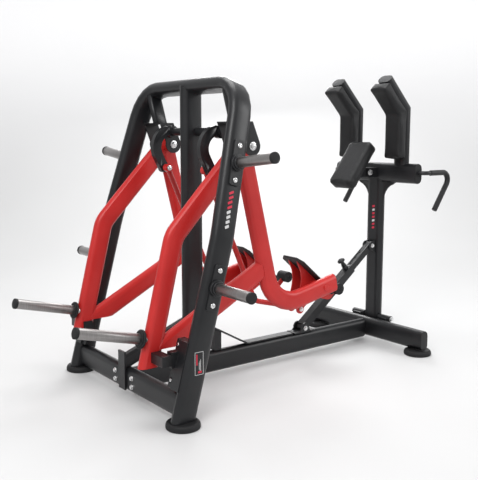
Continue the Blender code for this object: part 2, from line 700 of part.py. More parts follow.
head = finish("tower_head", head_shape(), "black_paint", "tower", at(TOWER_X, 0, HEAD_Z))
tower_path = [at(TOWER_X, 0, 0.128), at(TOWER_X, 0, HEAD_Z - 0.02)]
tower = finish(
    "tower_post",
    sweep(tower_path, oval(FRAME_L, FRAME_S), X),
    "black_paint",
    "tower",
    flat(TOWER_HINGE),
)
for side, s in SIDES:
    web = [(0.055, HEAD_Z - 0.050), (0.165, HEAD_Z - 0.050)]
    for i in range(1, 6):
        a = math.radians(90 - 15 * i)
        web.append((0.165 - 0.103 * math.cos(a), HEAD_Z - 0.171 + 0.103 * math.sin(a)))
    web.append((0.062, HEAD_Z - 0.171))
    web.append((0.055, HEAD_Z - 0.171))
    points = [at(TOWER_X - 0.004, s * w, z) for w, z in web]
    combine(tower, prism(points, X * 0.008), "UNION", "web_" + side, "tower")
    tab = [(1.380, 0.640), (1.380, 0.560)] + arc(STRUT_UP, 0.028, -100, -260, 8)
    combine(tower, plate(tab, s * 0.0225, s * 0.0295), "UNION", "tab_" + side, "tower")
combine(tower, head_shape(GAP), "DIFFERENCE", "head_cut", "tower")
hinge_bore = bar(flat(TOWER_HINGE, -0.1), flat(TOWER_HINGE, 0.1), HINGE_PIN_R + GAP)
combine(tower, hinge_bore, "DIFFERENCE", "hinge_bore", "tower")
up_pin = bar(flat(STRUT_UP, -0.036), flat(STRUT_UP, 0.036), 0.006, 16)
combine(tower, up_pin, "UNION", "up_pin", "tower")

# chest pad: cut-corner block on an arm from the head
chest_up = Vector((math.sin(CHEST_TILT), 0, math.cos(CHEST_TILT)))
chest_back = Vector((math.cos(CHEST_TILT), 0, -math.sin(CHEST_TILT)))


def chest_shape(grow=0.0):
    half_l, half_w, cut = CHEST_L / 2 + grow, CHEST_W / 2 + grow, 0.021
    shape = [
        (-half_l + cut, -half_w),
        (half_l - cut, -half_w),
        (half_l, -half_w + cut),
        (half_l, half_w - cut),
        (half_l - cut, half_w),
        (-half_l + cut, half_w),
        (-half_l, half_w - cut),
        (-half_l, -half_w + cut),
    ]
    centre = flat(CHEST_FACE) - chest_back * grow
    points = [centre + chest_up * t + Y * w for t, w in shape]
    return prism(points, chest_back * (CHEST_T + 2 * grow))


finish("chest_pad", chest_shape(), "vinyl", "tower", flat(CHEST_FACE) + chest_back * CHEST_T)
arm_z = flat(CHEST_FACE) + chest_back * CHEST_T
reach = TOWER_X - FRAME_S / 2 - GAP
chest_arm = finish(
    "chest_arm",
    block(arm_z.x - X0 - 0.03, reach - 0.01, -0.025, 0.025, HEAD_Z - 0.025, HEAD_Z + 0.025),
    "black_paint",
    "tower",
    at(reach, 0, HEAD_Z),
)
shell = block(1.285, reach, -0.033, 0.033, HEAD_Z - 0.029, HEAD_Z + 0.029)
combine(chest_arm, shell, "UNION", "socket", "tower")
combine(chest_arm, chest_shape(GAP), "DIFFERENCE", "pad_cut", "tower")

# shoulder pads on bent uprights, and the hook handles
tilt_dir = (-math.sin(PAD_TILT), math.cos(PAD_TILT))
tilt_out = (math.cos(PAD_TILT), math.sin(PAD_TILT))
miter = math.tan(PAD_TILT / 2)
UPRIGHT_L, UPRIGHT_S = 0.100, 0.060
for side, s in SIDES:
    y = s * PAD_Y
    front_bend = (PAD_FRONT, PAD_BEND)
    front_top = along(front_bend, tilt_dir, PAD_UP)
    pad_outline = [
        (PAD_FRONT, PAD_LOW),
        front_bend,
        front_top,
        along(front_top, tilt_out, PAD_T),
        (PAD_FRONT + PAD_T, PAD_BEND + PAD_T * miter),
        (PAD_FRONT + PAD_T, PAD_LOW),
    ]
    pad = plate(pad_outline, y - PAD_W / 2, y + PAD_W / 2)
    finish("shoulder_pad_" + side, pad, "vinyl", "tower", at(PAD_FRONT + PAD_T, y, PAD_LOW))

    offset = PAD_T + 0.0005 + UPRIGHT_S / 2
    corner = (PAD_FRONT + offset, PAD_BEND + offset * miter)
    tip = along(corner, tilt_dir, PAD_UP + offset * miter - 0.006)
    upright_path = [at(corner[0], y, HEAD_Z + 0.04), flat(corner, y), flat(tip, y)]
    outline = [(b, a) for a, b in oval(UPRIGHT_L, UPRIGHT_S)]
    upright = finish(
        "pad_upright_" + side,
        sweep(upright_path, outline, Y),
        "black_paint",
        "tower",
        upright_path[0],
    )
    combine(upright, head_shape(GAP), "DIFFERENCE", "head_cut", "tower")

    hz, hy = HEAD_Z + 0.006, s * 0.375
    hook = [
        at(TOWER_X, s * (HEAD_HALF + GAP), hz),
        at(TOWER_X, hy, hz),
        at(1.454 - GAP, hy, hz),
    ]
    handle = round_sweep(fillet(hook, [0.035], 5), 0.0125)
    finish("handle_" + side, handle, "black_paint", "tower", hook[0])
    grip_points = [at(1.454, hy, hz), at(1.662, hy, hz), at(1.505, hy, 0.851)]
    grip = round_sweep(fillet(grip_points, [0.045], 8), 0.0165)
    finish("grip_" + side, grip, "rubber", "tower", grip_points[0])

# ---- telescoping strut and its pull pin ---------------------------------------------
body("strut_outer", flat(STRUT_LOW), "frame")
strut_dir = unit(STRUT_LOW, STRUT_UP)
strut_up = (-strut_dir[1], strut_dir[0])
strut_len = math.hypot(STRUT_UP[0] - STRUT_LOW[0], STRUT_UP[1] - STRUT_LOW[1])


def strut_at(distance, rise=0.0):
    return along(along(STRUT_LOW, strut_dir, distance), strut_up, rise)


def square_bar(start, end, width):
    return sweep([flat(strut_at(start)), flat(strut_at(end))], box_outline(width, width), Y)


body("strut_inner", flat(strut_at(STRUT_SLEEVE_END)), "strut_outer")
body("pull_pin", flat(strut_at(STRUT_PIN_AT, STRUT_OUTER / 2)), "strut_outer")
outer = finish(
    "strut_outer",
    square_bar(0.010, STRUT_SLEEVE_END, STRUT_OUTER),
    "black_paint",
    "strut_outer",
    flat(STRUT_LOW),
)
neck = square_bar(0.0, 0.030, 2 * STRUT_EYE_R)
combine(outer, neck, "UNION", "neck", "strut_outer")
low_eye = bar(flat(STRUT_LOW, -0.025), flat(STRUT_LOW, 0.025), STRUT_EYE_R)
combine(outer, low_eye, "UNION", "low_eye", "strut_outer")
combine(outer, square_bar(0.040, STRUT_SLEEVE_END + 0.02, STRUT_BORE), "DIFFERENCE", "bore", "strut_outer")
eye = bar(flat(STRUT_LOW, -0.05), flat(STRUT_LOW, 0.05), 0.008 + GAP, 16)
combine(outer, eye, "DIFFERENCE", "eye", "strut_outer")
collar = bar(flat(strut_at(STRUT_PIN_AT, 0.022)), flat(strut_at(STRUT_PIN_AT, 0.052)), 0.016, 16)
combine(outer, collar, "UNION", "collar", "strut_outer")
pin_way = bar(flat(strut_at(STRUT_PIN_AT, 0.010)), flat(strut_at(STRUT_PIN_AT, 0.060)), 0.005 + GAP, 16)
combine(outer, pin_way, "DIFFERENCE", "pin_way", "strut_outer")

inner = finish(
    "strut_inner",
    square_bar(STRUT_INNER_START, strut_len + 0.014, STRUT_INNER),
    "black_paint",
    "strut_inner",
    flat(STRUT_UP),
)
EYE_PLAY = 0.0025  # the upper pin's play in its eye
up_eye = bar(flat(STRUT_UP, -0.05), flat(STRUT_UP, 0.05), 0.006 + EYE_PLAY, 16)
combine(inner, up_eye, "DIFFERENCE", "eye", "strut_inner")
for i in range(-1, 4):
    spot = STRUT_PIN_AT + i * HOLE_STEP
    hole = bar(flat(strut_at(spot, 0.004)), flat(strut_at(spot, 0.030)), 0.0055, 12)
    combine(inner, hole, "DIFFERENCE", "stop_hole_" + str(i + 1), "strut_inner")

pin_profile = [
    (0, 0.0210),
    (0.005, 0.0210),
    (0.005, 0.058),
    (0.014, 0.058),
    (0.012, 0.070),
    (0.010, 0.083),
    (0.024, 0.088),
    (0.024, 0.094),
    (0.015, 0.101),
    (0, 0.102),
]
pin_base = flat(strut_at(STRUT_PIN_AT))
pin_axis = Vector((strut_up[0], 0, strut_up[1]))
pull_pin = lathe(pin_base, pin_axis, pin_profile, 16)
finish("pull_pin", pull_pin, "rubber", "pull_pin", flat(strut_at(STRUT_PIN_AT, 0.045)))
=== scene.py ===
"""Finished looks of a standing leg press with two plate-loaded swinging arms."""
import json
import math

import bmesh
import bpy
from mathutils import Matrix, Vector
from mathutils.bvhtree import BVHTree


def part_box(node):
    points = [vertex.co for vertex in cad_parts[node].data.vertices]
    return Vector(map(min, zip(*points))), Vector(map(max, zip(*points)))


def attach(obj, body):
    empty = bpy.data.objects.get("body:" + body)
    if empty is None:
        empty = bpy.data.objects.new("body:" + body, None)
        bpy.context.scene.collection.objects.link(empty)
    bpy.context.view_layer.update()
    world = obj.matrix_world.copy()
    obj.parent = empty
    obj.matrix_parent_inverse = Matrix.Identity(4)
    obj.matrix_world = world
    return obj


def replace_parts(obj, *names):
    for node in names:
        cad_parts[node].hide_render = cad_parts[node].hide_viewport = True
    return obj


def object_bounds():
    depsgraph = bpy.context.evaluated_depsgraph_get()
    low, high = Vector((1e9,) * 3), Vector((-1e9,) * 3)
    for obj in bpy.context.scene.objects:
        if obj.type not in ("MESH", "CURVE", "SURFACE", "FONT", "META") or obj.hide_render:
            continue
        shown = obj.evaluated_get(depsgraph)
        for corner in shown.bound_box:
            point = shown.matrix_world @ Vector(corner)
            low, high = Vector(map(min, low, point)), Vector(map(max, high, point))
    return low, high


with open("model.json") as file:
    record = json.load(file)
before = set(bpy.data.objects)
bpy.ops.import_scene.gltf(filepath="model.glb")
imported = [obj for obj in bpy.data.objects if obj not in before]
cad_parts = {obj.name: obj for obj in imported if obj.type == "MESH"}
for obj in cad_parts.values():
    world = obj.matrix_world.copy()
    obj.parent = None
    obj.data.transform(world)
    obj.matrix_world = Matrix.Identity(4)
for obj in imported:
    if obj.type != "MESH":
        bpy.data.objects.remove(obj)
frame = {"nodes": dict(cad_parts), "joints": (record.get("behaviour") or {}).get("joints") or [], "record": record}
CAD_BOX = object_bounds()

X, Y, Z = Vector((1, 0, 0)), Vector((0, 1, 0)), Vector((0, 0, 1))
SIDES = (("r", -1), ("l", 1))
JOINTS = {joint["name"]: joint for joint in frame["joints"]}
BODY_OF = {
    node: body
    for body, nodes in frame["record"]["behaviour"]["bodies"].items()
    for node in nodes
}
SLOT_OF = {part["node"]: part["material_slot"] for part in frame["record"]["subparts"]}
SMOOTH = math.radians(33)


def pivot(joint):
    return Vector(JOINTS[joint]["pos_m"])


# ---- materials ----------------------------------------------------------------------
def new_material(name, color, roughness, metallic=0.0):
    mat = bpy.data.materials.new(name)
    mat.use_nodes = True
    shader = mat.node_tree.nodes["Principled BSDF"]
    shader.inputs["Base Color"].default_value = (*color, 1.0)
    shader.inputs["Roughness"].default_value = roughness
    shader.inputs["Metallic"].default_value = metallic
    return mat


def add(mat, kind, **settings):
    node = mat.node_tree.nodes.new(kind)
    for key, value in settings.items():
        if hasattr(node, key):
            setattr(node, key, value)
        else:
            node.inputs[key].default_value = value
    return node


def join(mat, out_node, out_name, in_node, in_name):
    mat.node_tree.links.new(out_node.outputs[out_name], in_node.inputs[in_name])


def place_texture(mat, texture, stretch=(1.0, 1.0, 1.0), turn=(0.0, 0.0, 0.0)):
    """Lays a texture out in the object's own metres."""
    coord = add(mat, "ShaderNodeTexCoord")
    mapping = add(mat, "ShaderNodeMapping")
    mapping.inputs["Scale"].default_value = stretch
    mapping.inputs["Rotation"].default_value = turn
    join(mat, coord, "Object", mapping, "Vector")
    join(mat, mapping, "Vector", texture, "Vector")
    return texture


def noise(mat, scale, detail=3.0, **layout):
    texture = add(mat, "ShaderNodeTexNoise", Scale=scale, Detail=detail, Roughness=0.55)
    return place_texture(mat, texture, **layout)


def remap(mat, source, output, low, high, target, socket):
    """Feeds a texture's 0.3 to 0.7 band to a socket as the range low to high."""
    node = add(mat, "ShaderNodeMapRange")
    node.inputs["From Min"].default_value = 0.3
    node.inputs["From Max"].default_value = 0.7
    node.inputs["To Min"].default_value = low
    node.inputs["To Max"].default_value = high
    join(mat, source, output, node, "Value")
    join(mat, node, "Result", target, socket)


def tint(mat, source, output, dark, light):
    """Base colour between two colours."""
    ramp = add(mat, "ShaderNodeValToRGB")
    ramp.color_ramp.elements[0].position = 0.30
    ramp.color_ramp.elements[0].color = (*dark, 1.0)
    ramp.color_ramp.elements[1].position = 0.70
    ramp.color_ramp.elements[1].color = (*light, 1.0)
    join(mat, source, output, ramp, "Fac")
    shader = mat.node_tree.nodes["Principled BSDF"]
    join(mat, ramp, "Color", shader, "Base Color")


def bump(mat, source, output, distance, strength=1.0):
    node = add(mat, "ShaderNodeBump")
    node.inputs["Distance"].default_value = distance
    node.inputs["Strength"].default_value = strength
    join(mat, source, output, node, "Height")
    shader = mat.node_tree.nodes["Principled BSDF"]
    if shader.inputs["Normal"].is_linked:
        earlier = shader.inputs["Normal"].links[0].from_node
        join(mat, earlier, "Normal", node, "Normal")
    join(mat, node, "Normal", shader, "Normal")


def powder_coat(name, dark, light, roughness, coat):
    """Satin powder coat: fine orange peel under a thin clear gloss."""
    mat = new_material(name, light, roughness)
    shader = mat.node_tree.nodes["Principled BSDF"]
    shader.inputs["Coat Weight"].default_value = coat
    shader.inputs["Specular IOR Level"].default_value = 0.34
    shader.inputs["Coat Roughness"].default_value = 0.28
    clouds = noise(mat, 5.0, 4.0)
    tint(mat, clouds, "Fac", dark, light)
    remap(mat, clouds, "Fac", roughness - 0.05, roughness + 0.06, shader, "Roughness")
    bump(mat, noise(mat, 420.0, 2.0), "Fac", 0.00022)
    bump(mat, noise(mat, 1600.0, 1.0), "Fac", 0.00006)
    return mat


def brushed(name, stretch, turn=(0.0, 0.0, 0.0)):
    """Turned steel: fine rings round the bar."""
    mat = new_material(name, (0.30, 0.285, 0.28), 0.36, 1.0)
    shader = mat.node_tree.nodes["Principled BSDF"]
    rings = noise(mat, 1.0, 3.0, stretch=stretch, turn=turn)
    tint(mat, rings, "Fac", (0.235, 0.222, 0.218), (0.36, 0.345, 0.34))
    remap(mat, rings, "Fac", 0.30, 0.46, shader, "Roughness")
    bump(mat, rings, "Fac", 0.00008)
    return mat


def zinc():
    mat = new_material("bright_zinc", (0.80, 0.80, 0.80), 0.24, 1.0)
    shader = mat.node_tree.nodes["Principled BSDF"]
    grain = noise(mat, 260.0, 3.0)
    tint(mat, grain, "Fac", (0.66, 0.66, 0.67), (0.88, 0.88, 0.87))
    remap(mat, grain, "Fac", 0.18, 0.36, shader, "Roughness")
    bump(mat, grain, "Fac", 0.00005)
    return mat


def rubber(name, dark, light, roughness):
    mat = new_material(name, light, roughness)
    shader = mat.node_tree.nodes["Principled BSDF"]
    shader.inputs["Specular IOR Level"].default_value = 0.32
    dust = noise(mat, 34.0, 5.0)
    tint(mat, dust, "Fac", dark, light)
    remap(mat, dust, "Fac", roughness - 0.07, roughness + 0.06, shader, "Roughness")
    bump(mat, noise(mat, 900.0, 2.0), "Fac", 0.0002)
    return mat


def vinyl():
    """Leather-grained vinyl: shallow cells with soft pores, and a faint sheen."""
    mat = new_material("black_vinyl", (0.010, 0.010, 0.011), 0.5)
    shader = mat.node_tree.nodes["Principled BSDF"]
    shader.inputs["Specular IOR Level"].default_value = 0.30
    wear = noise(mat, 14.0, 4.0)
    tint(mat, wear, "Fac", (0.0072, 0.0074, 0.0082), (0.0130, 0.0132, 0.0142))
    remap(mat, wear, "Fac", 0.43, 0.56, shader, "Roughness")
    cells = add(mat, "ShaderNodeTexVoronoi", feature="DISTANCE_TO_EDGE", Scale=520.0)
    bump(mat, place_texture(mat, cells), "Distance", 0.0006, 0.55)
    bump(mat, noise(mat, 1500.0, 2.0), "Fac", 0.0001)
    return mat


def tread():
    """Moulded non-slip sheet: rows of small raised studs."""
    mat = new_material("tread_plate", (0.014, 0.014, 0.015), 0.6)
    shader = mat.node_tree.nodes["Principled BSDF"]
    shader.inputs["Specular IOR Level"].default_value = 0.30
    dust = noise(mat, 30.0, 4.0)
    tint(mat, dust, "Fac", (0.012, 0.012, 0.013), (0.026, 0.026, 0.027))
    remap(mat, dust, "Fac", 0.5, 0.68, shader, "Roughness")
    studs = add(mat, "ShaderNodeTexVoronoi", feature="F1", Scale=150.0, Randomness=0.0)
    bump(mat, place_texture(mat, studs, turn=(0.0, 0.70, 0.0)), "Distance", 0.0012, 0.7)
    return mat


def mark(name, color):
    """Printed foil of a plain trim stripe."""
    mat = new_material(name, color, 0.35)
    shader = mat.node_tree.nodes["Principled BSDF"]
    fleck = noise(mat, 220.0, 3.0)
    tint(mat, fleck, "Fac", tuple(c * 0.88 for c in color), color)
    remap(mat, fleck, "Fac", 0.30, 0.42, shader, "Roughness")
    return mat


BLACK = powder_coat("black_powder_coat", (0.0085, 0.0088, 0.0100), (0.0130, 0.0133, 0.0150), 0.38, 0.12)
RED = powder_coat("red_powder_coat", (0.465, 0.0155, 0.0140), (0.545, 0.0215, 0.0190), 0.38, 0.12)
SLEEVE_Y = brushed("turned_steel_across", (14.0, 900.0, 14.0))
SLEEVE_X = brushed("turned_steel_along", (900.0, 14.0, 14.0), (0.0, 0.24, 0.0))
ZINC = zinc()
RUBBER = rubber("black_rubber", (0.008, 0.008, 0.009), (0.016, 0.016, 0.017), 0.68)
PLASTIC = rubber("black_plastic", (0.009, 0.009, 0.010), (0.015, 0.015, 0.016), 0.42)
VINYL = vinyl()
TREAD = tread()
STRIPE_RED = mark("stripe_red", (0.62, 0.012, 0.045))
STRIPE_WHITE = mark("stripe_white", (0.62, 0.62, 0.62))

LOOKS = {
    "black_powder_coat": BLACK,
    "red_powder_coat": RED,
    "sleeve_steel": SLEEVE_Y,
    "zinc_steel": ZINC,
    "rubber": RUBBER,
    "textured_black": TREAD,
    "black_vinyl": VINYL,
}


# ---- making pieces ------------------------------------------------------------------
def finish(name, bm, mat, body, smooth=SMOOTH):
    bmesh.ops.recalc_face_normals(bm, faces=bm.faces)
    mesh = bpy.data.meshes.new(name)
    bm.to_mesh(mesh)
    bm.free()
    mesh.materials.append(mat)
    mesh.shade_smooth()
    mesh.set_sharp_from_angle(angle=smooth)
    obj = bpy.data.objects.new(name, mesh)
    bpy.context.scene.collection.objects.link(obj)
    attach(obj, body)
    return obj


def cad_mesh(node, tidy=True):
    """A welded copy of a CAD node's mesh, its flat areas made into single faces."""
    bm = bmesh.new()
    bm.from_mesh(frame["nodes"][node].data)
    bmesh.ops.remove_doubles(bm, verts=bm.verts, dist=0.00003)
    if tidy:
        bmesh.ops.dissolve_limit(
            bm, angle_limit=math.radians(0.8), verts=bm.verts, edges=bm.edges
        )
    return bm


def round_edges(obj, name, width, segments, angle):
    bevel = obj.modifiers.new(name, "BEVEL")
    bevel.width = width
    bevel.segments = segments
    bevel.limit_method = "ANGLE"
    bevel.angle_limit = math.radians(angle)
    return bevel


def dress(node, edge=0.0, mat=None, segments=3, angle=35):
    """The node's own shape with smooth shading and, for plates and blocks, rounded edges."""
    slot = SLOT_OF[node]
    obj = finish(node + "_skin", cad_mesh(node), mat or LOOKS[slot], BODY_OF[node])
    if edge:
        round_edges(obj, "rounding", edge, segments, angle).harden_normals = True
    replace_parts(obj, node)
    return obj


def end_face(node, toward, area=0.0002):
    """Centre, normal and outline of the flat end that lies furthest along a direction."""
    bm = cad_mesh(node)
    bm.normal_update()
    facing = [f for f in bm.faces if f.normal.dot(toward) > 0.6 and f.calc_area() > area]
    face = max(facing, key=lambda f: f.calc_center_median().dot(toward))
    outline = [v.co.copy() for v in face.verts]
    centre = sum(outline, Vector()) / len(outline)
    normal = face.normal.copy()
    bm.free()
    return centre, normal, outline


def circle_ring(bm, centre, side, up, radius, steps):
    ring = []
    for i in range(steps):
        a = 2 * math.pi * i / steps
        ring.append(bm.verts.new(centre + side * (radius * math.cos(a)) + up * (radius * math.sin(a))))
    return ring


def bridge(bm, a, b):
    count = len(a)
    for i in range(count):
        j = (i + 1) % count
        bm.faces.new((a[i], a[j], b[j], b[i]))


def lathe(bm, base, axis, profile, steps=48):
    """Adds a closed solid of revolution. profile lists (radius, distance along the axis)."""
    axis = axis.normalized()
    side = axis.orthogonal().normalized()
    up = axis.cross(side)
    rings = [circle_ring(bm, base + axis * d, side, up, max(r, 0.0001), steps) for r, d in profile]
    for a, b in zip(rings, rings[1:]):
        bridge(bm, a, b)
    bm.faces.new(rings[0][::-1])
    bm.faces.new(rings[-1])


def rounded(radius, start, end, edge, steps=4):
    """Profile of a disc or bar with rounded rims."""
    points = [(0, start)]
    for i in range(steps + 1):
        a = math.pi / 2 * i / steps
        points.append((radius - edge + edge * math.sin(a), start + edge - edge * math.cos(a)))
    for i in range(steps + 1):
        a = math.pi / 2 * i / steps
        points.append((radius - edge + edge * math.cos(a), end - edge + edge * math.sin(a)))
    return points + [(0, end)]


def hex_bolt(bm, place, axis, size, washer=True):
    """Adds a hexagon head on a washer. size is the thread's diameter."""
    axis = axis.normalized()
    sink = -0.0006
    thick = 0.16 * size if washer else 0.0
    if washer:
        lathe(bm, place, axis, rounded(1.08 * size, sink, thick, 0.05 * size, 2), 28)
    side = axis.orthogonal().normalized()
    up = axis.cross(side)
    head, corner = 0.62 * size, 0.90 * size
    layers = ((corner, thick), (corner, thick + head * 0.82), (corner * 0.84, thick + head))
    rings = []
    for radius, height in layers:
        rings.append(circle_ring(bm, place + axis * height, side, up, radius, 6))
    bridge(bm, rings[0], rings[1])
    bridge(bm, rings[1], rings[2])
    bm.faces.new(rings[0][::-1])
    bm.faces.new(rings[-1])
    lathe(bm, place + axis * (thick + head), axis, rounded(corner * 0.62, -0.001, 0.0006, 0.0003, 2), 20)


def dome_bolt(bm, place, axis, radius):
    """Adds a low round head with a hexagon socket."""
    axis = axis.normalized()
    profile = [(0, -0.0006), (radius, -0.0006), (radius, radius * 0.12)]
    for i in range(1, 6):
        a = math.pi / 2 * i / 6
        profile.append((radius * math.cos(a), radius * (0.12 + 0.42 * math.sin(a))))
    profile += [(radius * 0.42, radius * 0.54), (radius * 0.40, radius * 0.30), (0, radius * 0.28)]
    lathe(bm, place, axis, profile, 28)


def hardware(name, body, bolts, mat=None):
    """One piece of several bolts: (kind, place, axis, size)."""
    bm = bmesh.new()
    for kind, place, axis, size in bolts:
        if kind == "hex":
            hex_bolt(bm, place, axis, size)
        else:
            dome_bolt(bm, place, axis, size)
    return finish(name, bm, mat or ZINC, body, math.radians(28))


def end_cap(name, node, toward, height=0.003, mat=None, rim=0.0012, inset=0.988):
    """Domed plug over the end of a tube."""
    centre, normal, outline = end_face(node, toward)
    sections = [(inset, -0.0004), (inset, height - rim)]
    sections += [(inset - rim * 12, height), (0.55, height + rim * 0.8)]
    bm = bmesh.new()
    rings = []
    for scale, lift in sections:
        rings.append([bm.verts.new(centre + (p - centre) * scale + normal * lift) for p in outline])
    for a, b in zip(rings, rings[1:]):
        bridge(bm, a, b)
    bm.faces.new(rings[0][::-1])
    bm.faces.new(rings[-1])
    return finish(name, bm, mat or PLASTIC, BODY_OF[node])


# ---- weld beads ---------------------------------------------------------------------
def contact_rims(node, other, reach=0.0009):
    """Closed or open chains of points where a coped tube's end meets its neighbour."""
    bm = cad_mesh(node, tidy=False)
    tree = BVHTree.FromBMesh(cad_mesh(other, tidy=False))

    def near(point, limit):
        hit = tree.find_nearest(point)
        return hit[0] is not None and hit[3] < limit

    close = {v: near(v.co, reach) for v in bm.verts}
    touching = set()
    for face in bm.faces:
        if all(close[v] for v in face.verts) and near(face.calc_center_median(), reach * 2):
            touching.add(face)
    rim = [e for e in bm.edges if len([f for f in e.link_faces if f in touching]) == 1]
    chains = []
    left = set(rim)
    while left:
        edge = left.pop()
        chain = [edge.verts[0], edge.verts[1]]
        for head in (False, True):
            if head:
                chain.reverse()
            growing = True
            while growing:
                growing = False
                for option in chain[-1].link_edges:
                    if option in left:
                        left.remove(option)
                        chain.append(option.other_vert(chain[-1]))
                        growing = True
                        break
        chains.append([v.co.copy() for v in chain])
    bm.free()
    return chains


def resample(points, step):
    spots = [points[0]]
    left = step
    for a, b in zip(points, points[1:]):
        length = (b - a).length
        while length >= left:
            a = a + (b - a).normalized() * left
            length -= left
            spots.append(a)
            left = step
        left -= length
    return spots


def weld(node, others, radius=0.0030):
    """Rippled fillet bead along each seam between a tube and its neighbours, in its paint."""
    bm = bmesh.new()
    for other in others:
        for chain in contact_rims(node, other):
            length = sum((b - a).length for a, b in zip(chain, chain[1:]))
            if length < 0.03:
                continue
            closed = (chain[0] - chain[-1]).length < 0.0001
            points = resample(chain, 0.0022)
            if closed:
                points = points[:-1] if (points[-1] - points[0]).length < 0.0012 else points
            count = len(points)
            rings = []
            for i, point in enumerate(points):
                after = points[(i + 1) % count] if closed or i < count - 1 else point
                before = points[i - 1] if closed or i else point
                tangent = (after - before).normalized()
                side = tangent.orthogonal().normalized()
                reach = radius * (0.86 + 0.16 * math.sin(i * 1.9))
                rings.append(circle_ring(bm, point, side, tangent.cross(side), reach, 8))
            for a, b in zip(rings, rings[1:] + rings[:1] if closed else rings[1:]):
                turn = min(range(8), key=lambda k: (a[0].co - b[k].co).length)
                bridge(bm, a, b[turn:] + b[:turn])
            if not closed:
                bm.faces.new(rings[0][::-1])
                bm.faces.new(rings[-1])
    if not bm.faces:
        bm.free()
        print("no seam between", node, "and", others)
        return None
    return finish(node + "_weld", bm, LOOKS[SLOT_OF[node]], BODY_OF[node], math.radians(80))


# ---- frame, arms and tower tubes ----------------------------------------------------
for node in ("hoop", "centre_post", "base_beam", "rear_crossbeam", "front_crossbeam", "rear_brace"):
    dress(node)
for node in ("link_brackets", "tower_post", "tower_head", "strut_inner", "strut_outer", "tower_hinge"):
    dress(node)
dress("riser")
for node, edge in (("strap", 0.0015), ("strut_clevis", 0.0), ("chest_arm", 0.0)):
    dress(node, edge)
for side, s in SIDES:
    for base in ("clevis", "pad_upright", "handle", "arm_rear", "arm_front", "arm_brace", "arm_hub"):
        dress(base + "_" + side)
    for base in ("carriage_ribs", "link_tube"):
        dress(base + "_" + side)
    dress("stop_block_" + side, 0.003)
    dress("stop_bar_" + side, 0.0035)


for node, others in (
    ("centre_post", ("hoop", "base_beam")),
    ("base_beam", ("rear_crossbeam", "front_crossbeam")),
    ("rear_crossbeam", ("hoop",)),
    ("rear_brace", ("centre_post",)),
    ("strap", ("centre_post",)),
    ("tower_post", ("tower_head",)),
    ("riser", ("strap",)),
):
    weld(node, others)
for side, s in SIDES:
    weld("clevis_" + side, ("hoop",))
    weld("pad_upright_" + side, ("tower_head",))
    weld("arm_rear_" + side, ("arm_hub_" + side,))
    weld("arm_front_" + side, ("arm_hub_" + side, "arm_rear_" + side))
    weld("arm_brace_" + side, ("arm_rear_" + side, "arm_front_" + side))

for side, s in SIDES:
    outward = Y * s
    end_cap("beam_cap_" + side, "front_crossbeam", outward, 0.004)
    end_cap("head_cap_" + side, "tower_head", outward, 0.004)
    end_cap("arm_end_cap_" + side, "arm_front_" + side, X, 0.003)
    end_cap("arm_foot_cap_" + side, "arm_rear_" + side, -Z, 0.003)
    end_cap("upright_cap_" + side, "pad_upright_" + side, Vector((-1, 0, 1)), 0.002, BLACK)
    end_cap("stop_cap_" + side, "stop_bar_" + side, outward, 0.002)
    end_cap("stop_inner_cap_" + side, "stop_bar_" + side, -outward, 0.0015)


# ---- weight sleeves -----------------------------------------------------------------
def sleeve(node, toward, mat, length):
    """Turned sleeve and rubber end cap of a weight horn. Returns its tip and axis."""
    body = BODY_OF[node]
    tip, axis, outline = end_face(node, toward)
    radius = max((p - tip).length for p in outline)
    bm = bmesh.new()
    lathe(bm, tip, axis, rounded(radius, -length, -0.014, 0.001, 2), 56)
    finish(node + "_sleeve", bm, mat, body)
    bm = bmesh.new()
    lathe(bm, tip, axis, rounded(radius + 0.0012, -0.016, 0.0, 0.0035, 4), 56)
    finish(node + "_tip", bm, RUBBER, body)
    return tip, axis


